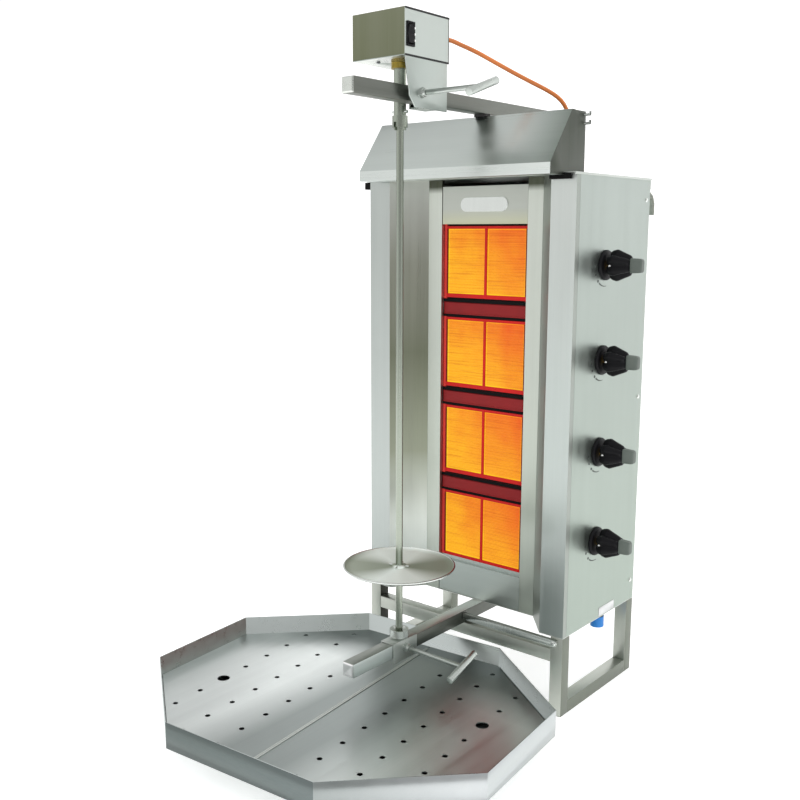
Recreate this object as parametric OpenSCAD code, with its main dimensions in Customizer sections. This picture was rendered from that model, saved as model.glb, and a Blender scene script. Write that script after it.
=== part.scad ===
// Gas vertical rotisserie: a free-standing burner cabinet on a tube frame, a vertical spit
// driven from above, a bearing that carries it from below, and a loose drip tray in front.
// Millimetres, +Z up, front is -Y. The origin is on the floor under the middle of the machine.

/* [Cabinet] */
// Width of the burner cabinet
cab_w = 445; // [420:1:470]
// Depth of the burner cabinet
cab_d = 264; // [250:1:290]
// Height of the cabinet's lower edge above the floor
cab_bottom = 146; // [140:1:160]
// Height of the cabinet body
cab_h = 798; // [790:1:820]
// Width of each front flange beside the recess
flange_w = 48; // [40:1:55]
// Depth of the splayed recess that holds the burners
recess_d = 57; // [50:1:62]
// Thickness of the sheet steel
sheet = 1.5; // [1:0.5:2]

/* [Frame] */
// Side of the square tube of the legs, runners and arms
tube = 24; // [20:1:26]
// Wall of the square tube
tube_wall = 1.5; // [1:0.5:2]

/* [Burners] */
// Number of burners, one above the other
burners = 4; // [4:1:4]
// Width of one ceramic plaque
plaque_w = 92; // [90:1:93]
// Height of one ceramic plaque
plaque_h = 132; // [120:1:134]
// Vertical distance between burners
burner_pitch = 169.5; // [166:0.5:170]
// Height of the lowest plaque's lower edge
burner_z = 219; // [216:1:222]
// Height of the lowest knob
knob_z = 300; // [296:1:304]
// Vertical distance between knobs
knob_pitch = 164; // [160:1:168]
// Distance of the knobs behind the cabinet's front
knob_y = 105; // [100:1:110]
// How far a knob is pushed in to open its valve
knob_push = 4; // [3:1:5]

/* [Spit] */
// Distance of the spit's axis in front of the cabinet
spit_y = 179; // [160:1:190]
// Diameter of the spit shaft
spit_d = 12; // [10:1:14]
// Diameter of the disc under the meat
disc_d = 194; // [160:2:200]
// Height of the disc
disc_z = 276; // [260:1:300]
// Width of the drive motor's housing
motor_w = 106; // [100:1:112]
// Depth of the drive motor's housing
motor_d = 110; // [104:1:116]
// Height of the drive motor's housing
motor_h = 70; // [64:1:76]
// Height of the underside of the motor's housing
motor_z = 1111; // [1108:1:1116]

/* [Drip tray] */
// Width of the octagonal tray
tray_w = 672; // [640:2:680]
// Depth of the octagonal tray
tray_d = 538; // [520:2:540]
// Length of the tray's front and rear edges
tray_front = 296; // [280:2:310]
// Length of the tray's side edges
tray_side = 222; // [200:2:230]
// Height of the tray's rim above the floor
tray_rim = 96; // [90:1:97]
// Height of the tray's wall
tray_wall = 44; // [36:1:48]
// Angle at which the loose tray stands
tray_turn = 5.5; // [0:0.5:6]

/* [Mains lead] */
// Diameter of the mains lead
lead_d = 7; // [6:0.5:8]
// Mean diameter of the stored coil
coil_d = 76; // [68:1:84]

/* [Hidden] */

// Where the cabinet's front centre stands in the machine's own frame
cab_x = 26;
cab_y = 142;
half_w = cab_w / 2;
cab_top = cab_bottom + cab_h;
// The upright panels stand on the bottom panel and end under the lid
wall_z = cab_bottom + sheet;
wall_top = cab_top - 2;
// Half width of the recess at the front, at its back and of the burner opening
mouth_x = half_w - flange_w;
throat_x = 125.4;
opening_x = 94.4;
gap = 0.3;
bar = tube / 2;
steel = [0.72, 0.73, 0.72];
dark_steel = [0.52, 0.54, 0.53];
black = [0.07, 0.07, 0.07];
brass = [0.72, 0.56, 0.25];
ceramic = [1.0, 0.55, 0.1];
glow_red = [0.6, 0.08, 0.06];

// Crossbar and arms
crossbar_z = cab_bottom - 2 * tube;
lower_arm_z = cab_bottom - tube;
lower_arm_y = -310;
upper_arm_x = 23;
upper_arm_y = -326;
upper_arm_z = 1048;
arm_back_y = 210;

// Hood over the front of the top
hood_x = 203;
hood_front_y = -52;
hood_crest_y = 12;
hood_back_y = 56;
hood_lip_z = 939;
hood_lip_h = 18;
hood_top_z = 1044;

// Burner box behind each pair of plaques
box_x = 97;
box_y = recess_d + 9;
box_d = 58;
box_over = 6;
tube_bore_d = 20;
valve_x = 168;
manifold_x = 184;
manifold_y = knob_y + 25.2;
manifold_d = 22;
inlet_x = 200;
inlet_y = 166;

// Knobs, on the right side of the cabinet
stem_d = 8;
bezel_d = 52;
bezel_h = 6;
knob_start = half_w + bezel_h + knob_push + 2;
knob_h = 58;
stem_grip = 34;

// Motor carriage
motor_y0 = -spit_y - motor_d / 2 + 2;
motor_top = motor_z + motor_h;
plate_x = 50;
plate_bottom = 1037;
clamp_y = -190;
clamp_z = upper_arm_z + bar;
coupler_r = 10;
coupler_z0 = 1008;
pin_d = 5;
pin_z = 1036;

// Clamp handles
handle_rod_d = 8;
handle_bar_d = 12;
handle_bar_l = 74;
handle_tilt = 19;

// Lower carriage
slider_x = bar + gap;
slider_top = cab_bottom + gap + 2;
cup_r = 16.5;
cup_h = 16;

// Tray
tray_x = -26;
tray_y = -287;
tray_floor = tray_rim - tray_wall;
insert_z = tray_floor + 9;
// Drain holes: columns from the middle outwards, each with this many rows either side
hole_x = 80;
hole_pitch_x = 76;
hole_pitch_y = 57;
hole_rows = [4, 4, 3];

// Mains lead: out of the motor's rear face, over the hood, down behind it, coiled, then the plug
gland_x = 30;
gland_z = 1155;
gland_l = 22;
lead_out_y = motor_y0 + motor_d + gland_l;
coil_x = 97;
coil_y = 131;
coil_z = cab_top + 1;
coil_rise = 4 * lead_d;
lead_points = [
    [30, lead_out_y, 1155], [30, -92, 1155], [31.6, -81.5, 1154.2], [36, -69.5, 1150.6], [49, -44, 1141.5],
    [60, -22, 1132], [70, -2, 1123], [84, 18, 1112], [98, 35, 1102], [113, 51, 1092],
    [126, 64, 1083], [136, 76, 1074], [143, 87, 1062], [147, 95, 1045], [149, 98.4, 1025],
    [149, 99, 1003], [147.5, 99, 980.5], [145.6, 100.1, 972.2], [143.6, 103.3, 964.5],
    [141.7, 108.4, 957.9], [140.1, 115, 952.8], [139, 122.7, 949.6], [138.5, 131, 948.5]
];
plug_x = 22;
plug_y = 98;
plug_z = 962.5;
tail_points = [
    [55.5, coil_y, 969.5], [54.4, 121.7, 969.2], [51.2, 114, 968.2], [46.1, 107.4, 966.6],
    [39.5, 102.3, 964.9], [31.8, 99.1, 963.4], [23.5, plug_y, 962.6], [20, plug_y, plug_z]
];

function unit(v) = v / norm(v);
function normal_of(a, b) = let (d = unit(b - a)) [-d[1], d[0]];
function mitre(path, i, t) =
    let (
        last = len(path) - 1,
        n0 = normal_of(path[max(i - 1, 0)], path[max(i, 1)]),
        n1 = normal_of(path[min(i, last - 1)], path[min(i + 1, last)])
    )
    path[i] + (n0 + n1) * t / (1 + n0 * n1);
function burner_at(i) = burner_z + i * burner_pitch;
function knob_at(i) = knob_z + i * knob_pitch;

// Everything is drawn from the middle of the cabinet's front edge
module on_cabinet() {
    translate([cab_x, cab_y, 0]) children();
}

// A folded sheet: a path in plan, thickened to its left by t
module folded_sheet(path, t = sheet) {
    polygon(concat(path, [for (i = [len(path) - 1:-1:0]) mitre(path, i, t)]));
}

// Square tube along Z, X or Y, open at both ends
module tube_z(l) {
    linear_extrude(l) difference() {
        square(tube);
        translate([tube_wall, tube_wall]) square(tube - 2 * tube_wall);
    }
}
module tube_x(l) {
    translate([0, 0, tube]) rotate([0, 90, 0]) tube_z(l);
}
module tube_y(l) {
    translate([0, 0, tube]) rotate([-90, 0, 0]) tube_z(l);
}

module rod_x(d, l) {
    rotate([0, 90, 0]) cylinder(d = d, h = l, $fn = 48);
}

module block(low, high) {
    translate(low) cube(high - low);
}

// Frame -------------------------------------------------------------------------------------

module frame_legs() color(dark_steel) on_cabinet() {
    for (x = [-half_w, half_w - tube], y = [0, cab_d - tube])
        translate([x, y, 0]) tube_z(cab_bottom);
}

module floor_runners() color(dark_steel) on_cabinet() {
    for (x = [-half_w, half_w - tube])
        translate([x, tube, 0]) tube_y(cab_d - 2 * tube);
}

module front_crossbar() color(dark_steel) on_cabinet() {
    translate([-half_w + tube, 0, crossbar_z]) tube_x(cab_w - 2 * tube);
}

// Flat bar in front of the right leg, screwed to it
module front_stay() color(dark_steel) on_cabinet() {
    translate([0, -0.2, cab_bottom - 9]) rotate([90, 0, 0]) difference() {
        union() {
            block([bar + 1, -6, 0], [half_w - 14, 6, 8]);
            translate([half_w - 14, 0, 0]) cylinder(r = 6, h = 8, $fn = 48);
        }
        translate([half_w - 14, 0, -1]) cylinder(d = 5.5, h = 10, $fn = 32);
    }
}

module lower_arm() color(dark_steel) on_cabinet() {
    translate([-bar, lower_arm_y + tube_wall, lower_arm_z])
        tube_y(arm_back_y - lower_arm_y - tube_wall);
    block([-bar, lower_arm_y, lower_arm_z], [bar, lower_arm_y + tube_wall, cab_bottom]);
}

// Cabinet shell -------------------------------------------------------------------------------

module cabinet_outline() {
    polygon([
        [-half_w, 0], [-mouth_x, 0], [-throat_x, recess_d], [throat_x, recess_d],
        [mouth_x, 0], [half_w, 0], [half_w, cab_d], [-half_w, cab_d]
    ]);
}

module bottom_panel() color(steel) on_cabinet() {
    difference() {
        translate([0, 0, cab_bottom]) linear_extrude(sheet) difference() {
            cabinet_outline();
            for (x = [-120, -60, 0, 60, 120]) translate([x - 4, 170]) square([8, 50]);
        }
        translate([inlet_x, inlet_y, cab_bottom - 1]) cylinder(d = manifold_d + 2, h = 5, $fn = 48);
    }
}

module back_panel() color(steel) on_cabinet() {
    difference() {
        block([-half_w + sheet, cab_d - sheet, wall_z], [half_w - sheet, cab_d, wall_top]);
        for (x = [-130, 0, 130], z = [0:5])
            translate([x - 45, cab_d - 3, 620 + 40 * z]) cube([90, 6, 8]);
    }
}

module side_sheet() {
    block([half_w - sheet, 12.4, wall_z], [half_w, cab_d, wall_top]);
}

module side_panel_left() color(steel) on_cabinet() {
    mirror([1, 0, 0]) side_sheet();
}

module side_panel_right() color(steel) on_cabinet() {
    difference() {
        side_sheet();
        for (i = [0:burners - 1])
            translate([half_w - 4, knob_y, knob_at(i)]) rod_x(stem_d + 4, 8);
    }
}

// Front flange, splayed wall of the recess and the fold that the burner frame is fixed to
module wing() {
    path = [
        [throat_x, recess_d + 20], [throat_x, recess_d], [mouth_x, 0], [half_w, 0], [half_w, 12]
    ];
    translate([0, 0, wall_z]) linear_extrude(wall_top - wall_z) folded_sheet(path);
}

module front_wings() color(steel) on_cabinet() {
    wing();
    mirror([1, 0, 0]) wing();
}

// Upright strips each side of the burners
module burner_frame() color(steel) on_cabinet() {
    path = [
        [opening_x, recess_d + 7], [opening_x, recess_d],
        [throat_x - 0.2, recess_d], [throat_x - 0.2, recess_d + 20]
    ];
    for (side = [0, 1]) mirror([side, 0, 0])
        translate([0, 0, wall_z]) linear_extrude(wall_top - wall_z) folded_sheet(path);
}

module trim_plate(z0, z1) {
    x = opening_x - 1;
    difference() {
        block([-x, recess_d + 1, z0], [x, box_y - 0.5, z1]);
        block([-x - 1, recess_d + 1 + sheet, z0 + sheet], [x + 1, box_y, z1 - sheet]);
    }
}

module trim_plates() color(steel) on_cabinet() {
    trim_plate(cab_bottom + 2, burner_z - box_over - 1);
    trim_plate(burner_at(burners - 1) + plaque_h + 2.5, cab_top - 14);
}

// Lid of the cabinet: a flat sheet with a narrow lip at each side and a deeper one at the back
module top_cap() color(steel) on_cabinet() {
    lip_x = half_w + gap;
    back_y = cab_d + gap;
    under = cab_top - sheet;
    block([-lip_x - sheet, -8, under], [lip_x + sheet, back_y + sheet, cab_top]);
    for (side = [0, 1]) mirror([side, 0, 0])
        block([lip_x, -8, cab_top - 4], [lip_x + sheet, back_y + sheet, under]);
    block([-lip_x, back_y, cab_top - 20], [lip_x, back_y + sheet, under]);
}

module hood_profile(t) {
    folded_sheet([
        [-8.3, hood_lip_z], [hood_front_y, hood_lip_z], [hood_front_y, hood_lip_z + hood_lip_h],
        [hood_crest_y, hood_top_z], [hood_crest_y + 10, hood_top_z]
    ], -t);
}

// Sloping deflector over the front edge, with a cheek at each end and a two-finger cord hook
module heat_hood() color(steel) on_cabinet() {
    cheek = [
        [hood_front_y + 2, hood_lip_z + 2], [hood_front_y + 2, hood_lip_z + hood_lip_h],
        [hood_crest_y, hood_top_z - 2], [hood_crest_y, hood_top_z - 0.5],
        [hood_back_y, hood_top_z - 0.5], [hood_back_y, cab_top], [-10, cab_top],
        [-10, hood_lip_z + 2]
    ];
    rotate([90, 0, 90]) translate([0, 0, -hood_x]) linear_extrude(2 * hood_x) hood_profile(sheet);
    for (x = [-hood_x, hood_x - sheet])
        translate([x, 0, 0]) rotate([90, 0, 90]) linear_extrude(sheet) polygon(cheek);
    for (z = [hood_top_z - 6, hood_top_z - 20]) {
        translate([hood_x - 1, hood_back_y - 4, z]) rod_x(4, 12);
        translate([hood_x + 10, hood_back_y - 4, z]) cylinder(d = 4, h = 5, $fn = 32);
    }
}

// Black blocks under the ends of the hood
module hood_brackets() color(black) on_cabinet() {
    block([mouth_x, -8, 933], [mouth_x + 38, -gap, cab_top - 2]);
    block([-half_w - 15, 1, 927], [-half_w, 11, 940]);
}

module data_plate() color([0.85, 0.86, 0.86]) on_cabinet() {
    block([half_w, 128, cab_bottom + 3], [half_w + 0.6, 186, cab_bottom + 19]);
}

// Hooks on the back that keep the machine off the wall
module wall_spacers() color(dark_steel) on_cabinet() {
    profile = [
        [cab_d, 921], [cab_d + 14, 913], [cab_d + 21, 900], [cab_d + 21, 879], [cab_d + 13, 879],
        [cab_d + 13, 898], [cab_d + 9, 906], [cab_d, 911]
    ];
    for (x = [-half_w + 0.5, half_w - 6.5])
        translate([x, 0, 0]) rotate([90, 0, 90]) linear_extrude(6) polygon(profile);
}

// Rounded screw heads on the right and left sides and on the stay
module panel_screws() color(steel) on_cabinet() {
    for (side = [0, 1], z = [cab_bottom + 40, 545, 905]) mirror([side, 0, 0])
        translate([half_w, cab_d - 14, z]) rotate([0, 90, 0]) screw_head(4);
    translate([half_w - 14, -8.2, cab_bottom - 9]) rotate([90, 0, 0]) screw_head(4.5);
}

module screw_head(r) {
    rotate_extrude($fn = 40) polygon([[0, 0], [r, 0], [r, 0.6], [r * 0.7, 2], [0, 2.4]]);
}

// Burners -------------------------------------------------------------------------------------

module burner_bodies() color(glow_red) on_cabinet() {
    for (i = [0:burners - 1]) {
        z0 = burner_at(i) - box_over;
        z1 = burner_at(i) + plaque_h + box_over;
        difference() {
            union() {
                block([-box_x, box_y, z0], [box_x, box_y + box_d, z1]);
                translate([box_x - 1, knob_y, knob_at(i)]) rod_x(tube_bore_d + 4, 52);
            }
            block([-box_x + 2, box_y - 1, z0 + 2], [box_x - 2, box_y + box_d - 2, z1 - 2]);
            translate([box_x - 5, knob_y, knob_at(i)]) rod_x(tube_bore_d, 60);
        }
    }
}

module ceramic_plaques() color(ceramic) on_cabinet() {
    for (i = [0:burners - 1], side = [0, 1]) mirror([side, 0, 0])
        block([0.6, box_y + 2, burner_at(i)], [0.6 + plaque_w, box_y + 15, burner_at(i) + plaque_h]);
}

// Shields across the gaps between neighbouring burners
module burner_spacers() color(glow_red) on_cabinet() {
    for (i = [1:burners - 1]) {
        z0 = burner_at(i - 1) + plaque_h + box_over + 1;
        z1 = burner_at(i) - box_over - 1;
        block([-opening_x + 2, box_y + 1, z0], [opening_x - 2, box_y + 2.5, z1]);
        block([-opening_x + 2, box_y + 2.5, z0], [opening_x - 2, box_y + 30, z0 + sheet]);
    }
}

module gas_manifold() color(dark_steel) on_cabinet() {
    top = knob_at(burners - 1) + 30;
    elbow_z = cab_bottom + 26;
    turn = atan2(inlet_y - manifold_y, inlet_x - manifold_x);
    run = norm([inlet_x - manifold_x, inlet_y - manifold_y]);
    r = manifold_d / 2;
    translate([manifold_x, manifold_y, elbow_z - r]) cylinder(r = r, h = top - elbow_z + r, $fn = 64);
    translate([manifold_x, manifold_y, elbow_z]) rotate([0, 0, turn]) rod_x(manifold_d - 2, run);
    translate([inlet_x, inlet_y, cab_bottom - 12])
        cylinder(r = r, h = elbow_z + r - cab_bottom + 12, $fn = 64);
}

module gas_inlet_cap() color([0.05, 0.35, 0.75]) on_cabinet() {
    translate([inlet_x, inlet_y, cab_bottom - 32]) cylinder(d = manifold_d + 3, h = 20, $fn = 64);
}

// Valve bodies: a bored block with a round neck towards the side panel
module gas_valves() color(brass) on_cabinet() {
    for (i = [0:burners - 1]) translate([valve_x, knob_y, knob_at(i)]) difference() {
        union() {
            block([0, -14, -15], [34, 14, 15]);
            translate([33, 0, 0]) rod_x(18, 14);
        }
        translate([12, 0, 0]) rod_x(stem_d + 0.1, 40);
        translate([-1, 0, 0]) rod_x(8, 8);
    }
}

module gas_injectors() color(brass) on_cabinet() {
    for (i = [0:burners - 1]) translate([valve_x, knob_y, knob_at(i)]) mirror([1, 0, 0]) {
        translate([-6, 0, 0]) rod_x(7.9, 6.1);
        rotate([0, 90, 0]) cylinder(d = 15, h = 8, $fn = 6);
        translate([7.9, 0, 0]) rod_x(7, 14);
    }
}

// Flame sensors beside each burner
module thermocouples() color([0.75, 0.42, 0.25]) on_cabinet() {
    for (i = [0:burners - 1]) translate([0, 0, burner_at(i) + plaque_h + box_over + 6]) {
        translate([60, box_y + 14, 0]) rod_x(4, 90);
        translate([52, box_y + 14, 0]) rod_x(6, 9);
    }
}

module knob_bezels() color(black) on_cabinet() {
    for (i = [0:burners - 1]) translate([half_w, knob_y, knob_at(i)]) rotate([0, 90, 0])
        rotate_extrude($fn = 96) polygon([
            [stem_d / 2 + 1, 0], [bezel_d / 2, 0], [bezel_d / 2, bezel_h - 3],
            [bezel_d / 2 - 2, bezel_h], [stem_d / 2 + 1, bezel_h]
        ]);
}

// Stem: pushed in against a spring, its knob turns on it
module valve_stem(i) color(brass) on_cabinet() {
    translate([valve_x + 18, knob_y, knob_at(i)])
        rod_x(stem_d, knob_start + stem_grip - valve_x - 18);
}

module valve_stem_1() valve_stem(0);
module valve_stem_2() valve_stem(1);
module valve_stem_3() valve_stem(2);
module valve_stem_4() valve_stem(3);

// Knob: a fluted, tapering body with a narrower finger grip at its end
module knob(i) color(black) on_cabinet() {
    body_h = 38;
    flutes = 8;
    translate([knob_start, knob_y, knob_at(i)]) rotate([0, 90, 0]) difference() {
        union() {
            difference() {
                cylinder(d1 = 54, d2 = 44, h = body_h, $fn = 96);
                for (a = [0:360 / flutes:359]) rotate(a)
                    translate([27, 0, -1]) cylinder(d = 12, h = body_h + 2, $fn = 48);
            }
            translate([0, 0, body_h - 0.1]) cylinder(d1 = 28, d2 = 26, h = knob_h - body_h, $fn = 72);
        }
        translate([0, 0, -1]) cylinder(d = stem_d + 0.1, h = stem_grip + 3, $fn = 48);
    }
}

module knob_1() knob(0);
module knob_2() knob(1);
module knob_3() knob(2);
module knob_4() knob(3);

// Upper arm and motor carriage ------------------------------------------------------------------

module upper_arm() color(dark_steel) on_cabinet() {
    translate([upper_arm_x - bar, upper_arm_y + tube_wall, upper_arm_z])
        tube_y(arm_back_y - upper_arm_y - tube_wall);
    block(
        [upper_arm_x - bar, upper_arm_y, upper_arm_z],
        [upper_arm_x + bar, upper_arm_y + tube_wall, upper_arm_z + tube]
    );
}

// Post behind the hood, standing on the lid
module arm_post() color(dark_steel) on_cabinet() {
    translate([upper_arm_x - bar, arm_back_y - tube, cab_top + 4])
        tube_z(upper_arm_z - cab_top - 4);
    difference() {
        block(
            [upper_arm_x - 32, arm_back_y - 44, cab_top],
            [upper_arm_x + 32, arm_back_y + 20, cab_top + 4]
        );
        for (x = [-24, 24], y = [-36, 12])
            translate([upper_arm_x + x, arm_back_y + y, cab_top - 1]) cylinder(d = 6, h = 6, $fn = 32);
    }
}

module arm_pad() color(black) on_cabinet() {
    block(
        [upper_arm_x - bar, hood_crest_y - 4, hood_top_z],
        [upper_arm_x + bar, hood_crest_y + 10, upper_arm_z]
    );
}

// Folded cover of the drive, open below, with a hole for the lead's gland
module motor_cover() color(steel) on_cabinet() {
    x = motor_w / 2;
    difference() {
        block([-x, motor_y0, motor_z + sheet], [x, motor_y0 + motor_d, motor_top]);
        block(
            [-x + sheet, motor_y0 + sheet, motor_z],
            [x - sheet, motor_y0 + motor_d - sheet, motor_top - sheet]
        );
        translate([gland_x, motor_y0 + motor_d + 1, gland_z]) rotate([90, 0, 0])
            cylinder(d = 12, h = 4, $fn = 48);
        block([x - 3, motor_y0 + 6, 1127], [x + 1, motor_y0 + 22, 1159]);
    }
}

// Base of the drive: a plate with a tapering side that reaches down to the arm and under it
module motor_bracket() color(steel) on_cabinet() {
    x = motor_w / 2;
    y1 = motor_y0 + motor_d;
    difference() {
        block([-x, motor_y0, motor_z], [x, y1, motor_z + sheet]);
        translate([0, -spit_y, motor_z - 1]) cylinder(d = 22, h = 4, $fn = 64);
    }
    difference() {
        translate([plate_x, 0, 0]) rotate([90, 0, 90]) linear_extrude(2) polygon([
            [motor_y0 + 3, motor_z], [motor_y0 + 14, upper_arm_z + 6], [motor_y0 + 28, plate_bottom],
            [y1 - 2, plate_bottom], [y1 - 2, motor_z]
        ]);
        translate([plate_x - 1, clamp_y, clamp_z]) rod_x(10.2, 5);
    }
    translate([plate_x + 2, clamp_y, clamp_z]) clamp_nut();
    block([upper_arm_x - bar - 3.2, y1 - 44, plate_bottom + 4], [plate_x, y1 - 2, plate_bottom + 7]);
    block([upper_arm_x - bar - 3.2, y1 - 44, plate_bottom + 7],
        [upper_arm_x - bar - gap, y1 - 2, upper_arm_z + tube - 2]);
}

// Hexagon nut welded to a carriage, with a collar; the clamp screw runs in its bore
module clamp_nut() {
    difference() {
        union() {
            rotate([0, 90, 0]) cylinder(d = 17, h = 7, $fn = 6);
            translate([6.9, 0, 0]) rod_x(13, 4);
        }
        translate([-1, 0, 0]) rod_x(handle_rod_d + 0.1, 14);
    }
}

// Clamp screw with its cross handle
module clamp_handle(l) {
    rod_x(handle_rod_d, l);
    translate([l, 0, 0]) rotate([handle_tilt - 90, 0, 0])
        cylinder(d = handle_bar_d, h = handle_bar_l, center = true, $fn = 48);
}

module upper_clamp_handle() color(steel) on_cabinet() {
    x0 = upper_arm_x + bar + gap;
    translate([x0, clamp_y, clamp_z]) clamp_handle(168 - x0);
}

module gear_motor() color([0.3, 0.31, 0.33]) on_cabinet() {
    translate([0, -spit_y, motor_z + sheet]) {
        difference() {
            block([-34, -28, 0], [34, 28, 18]);
            translate([0, 0, -1]) cylinder(d = 14.1, h = 14, $fn = 48);
        }
        translate([0, 0, 17.9]) cylinder(d = 52, h = 36, $fn = 72);
    }
}

module shaft_bushing() color(brass) on_cabinet() {
    translate([0, -spit_y, motor_z - 9]) difference() {
        union() {
            cylinder(d = 28, h = 9, $fn = 64);
            cylinder(d = 21.8, h = 9 + sheet, $fn = 64);
        }
        translate([0, 0, -1]) cylinder(r = coupler_r + 0.05, h = 14, $fn = 64);
    }
}

module switch_bezel() color(black) on_cabinet() {
    y = motor_y0 + 14;
    difference() {
        block([motor_w / 2, y - 9.5, 1125], [motor_w / 2 + 2, y + 9.5, 1161]);
        block([motor_w / 2 - 1, y - 7, 1128], [motor_w / 2 + 3, y + 7, 1158]);
    }
}

// Rocker with a shallow V face, pivoting across its middle
module switch_rocker() color(black) on_cabinet() {
    y = motor_y0 + 14;
    translate([motor_w / 2 - 4, y + 6.5, 1143]) rotate([90, 0, 0]) {
        linear_extrude(13)
            polygon([[0, -13.5], [7.5, -13.5], [5.6, 0], [7.5, 13.5], [0, 13.5]]);
        translate([1, 0, 0]) cylinder(d = 4, h = 13, $fn = 32);
    }
}

module cord_gland() color(black) on_cabinet() {
    translate([gland_x, motor_y0 + motor_d, gland_z]) rotate([-90, 0, 0]) {
        cylinder(d = 18, h = 7, $fn = 6);
        translate([0, 0, 6.9]) cylinder(d1 = 14, d2 = lead_d + 2, h = gland_l - 6.9, $fn = 48);
        translate([0, 0, -3]) cylinder(d = 11.8, h = 4, $fn = 48);
    }
}

// Spit ------------------------------------------------------------------------------------------

// Driving sleeve: turned by the motor, it takes the top of the spit in its lower bore
module drive_coupler() color(steel) on_cabinet() {
    top = motor_z - 0.5;
    translate([0, -spit_y, 0]) difference() {
        union() {
            translate([0, 0, coupler_z0]) cylinder(r = coupler_r, h = top - coupler_z0, $fn = 64);
            translate([0, 0, top - 1]) cylinder(d = 14, h = 13, $fn = 48);
            translate([0, 0, coupler_z0 + 4]) cylinder(r = coupler_r + 2.5, h = 18, $fn = 64);
        }
        translate([0, 0, coupler_z0 - 1]) cylinder(d = spit_d + 0.1, h = 45, $fn = 48);
        translate([-20, 0, pin_z]) rod_x(pin_d + 0.1, 40);
        translate([0, 0, coupler_z0 - 1]) block([-2.6, -20, 0], [2.6, 20, 13]);
    }
}

module coupler_pins() color(dark_steel) on_cabinet() {
    translate([-16, -spit_y, pin_z]) rod_x(pin_d, 31);
}

module spit_shaft() color(steel) on_cabinet() {
    foot_z = slider_top + 4;
    translate([0, -spit_y, foot_z]) difference() {
        union() {
            cylinder(d1 = 5, d2 = spit_d, h = 6, $fn = 48);
            translate([0, 0, 5.9]) cylinder(d = spit_d, h = coupler_z0 + 42 - foot_z - 5.9, $fn = 48);
        }
        translate([-20, 0, pin_z - foot_z]) rod_x(pin_d + 0.1, 40);
    }
}

// Disc with a turned-up rim and a hub, cross-pinned to the shaft
module meat_disc() color(steel) on_cabinet() {
    r = disc_d / 2;
    translate([0, -spit_y, disc_z]) {
        rotate_extrude($fn = 160) polygon([
            [spit_d / 2 + 0.05, -14], [13, -14], [13, 0], [r - 5, 0], [r, 3], [r, 6],
            [r - 1.6, 6], [r - 5.6, 2], [spit_d / 2 + 0.05, 2]
        ]);
        for (a = [20, 110]) rotate(a) for (s = [-1, 1])
            translate([s * 12.5 - 5.5, 0, 3.6]) rod_x(3.4, 11);
    }
}

// Lower carriage: a saddle over the lower arm that carries the foot bearing
module lower_slider() color(steel) on_cabinet() {
    x = slider_x;
    y0 = -spit_y - 32;
    y1 = -spit_y + 32;
    block([-x - 2, y0, cab_bottom + gap], [x + 2, y1, slider_top]);
    block([-x - 2, y0, cab_bottom - 34], [-x, y1, cab_bottom + gap]);
    difference() {
        block([x, y0, cab_bottom - 34], [x + 2, y1, cab_bottom + gap]);
        translate([x - 1, -spit_y, cab_bottom - 12]) rod_x(10.2, 5);
    }
    translate([x + 2, -spit_y, cab_bottom - 12]) clamp_nut();
}

module bearing_cup() color(steel) on_cabinet() {
    translate([0, -spit_y, slider_top]) rotate_extrude($fn = 96) polygon([
        [0, 0], [cup_r - 3, 0], [cup_r, 3], [cup_r, cup_h], [cup_r - 3, cup_h], [cup_r - 5, 10],
        [spit_d / 2 + 0.08, 10], [2.7, 3.6], [0, 3.6]
    ]);
}

module lower_clamp_handle() color(steel) on_cabinet() {
    translate([bar + 2 * gap, -spit_y, cab_bottom - 12]) clamp_handle(137 - bar - 2 * gap);
}

// Drip tray ---------------------------------------------------------------------------------------

function octagon(inset) = let (
        x = tray_w / 2 - inset, y = tray_d / 2 - inset,
        f = tray_front / 2 - inset * 0.4, s = tray_side / 2 - inset * 0.4
    ) [[-x, -s], [-f, -y], [f, -y], [x, -s], [x, s], [f, y], [-f, y], [-x, s]];

module at_tray() {
    on_cabinet() translate([tray_x, tray_y, 0]) rotate(tray_turn) children();
}

module drip_tray() color(steel) at_tray() {
    difference() {
        translate([0, 0, tray_floor]) linear_extrude(tray_wall) polygon(octagon(0));
        translate([0, 0, tray_floor + sheet]) linear_extrude(tray_wall) polygon(octagon(sheet));
    }
    for (x = [-190, 190], y = [-150, 150]) translate([x, y, 0]) {
        cylinder(d = 22, h = 6, $fn = 48);
        translate([0, 0, 5.9]) cylinder(d = 14, h = tray_floor - 5.9, $fn = 48);
    }
}

// Half of the perforated false floor, standing on short folded skirts
module tray_insert() {
    x_out = tray_w / 2 - 4;
    y = tray_d / 2 - 4;
    f = tray_front / 2 - 2;
    s = tray_side / 2 - 2;
    foot_z = tray_floor + sheet + gap;
    difference() {
        translate([0, 0, insert_z]) linear_extrude(sheet)
            polygon([[1, -y], [f, -y], [x_out, -s], [x_out, s], [f, y], [1, y]]);
        for (c = [0:2], r = [-hole_rows[c]:hole_rows[c]])
            if (c != 2 || r != 1)
                translate([hole_x + c * hole_pitch_x, r * hole_pitch_y, insert_z - 1])
                    cylinder(d = 9, h = 4, $fn = 24);
        translate([hole_x + 2 * hole_pitch_x, hole_pitch_y, insert_z - 1])
            cylinder(d = 22, h = 4, $fn = 48);
    }
    block([1, -y + 20, foot_z], [1 + sheet, y - 20, insert_z]);
    block([250, -90, foot_z], [250 + sheet, -50, insert_z]);
    block([250, 50, foot_z], [250 + sheet, 90, insert_z]);
}

module tray_insert_left() color(steel) at_tray() rotate(180) tray_insert();
module tray_insert_right() color(steel) at_tray() tray_insert();

// Mains lead --------------------------------------------------------------------------------------

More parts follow.
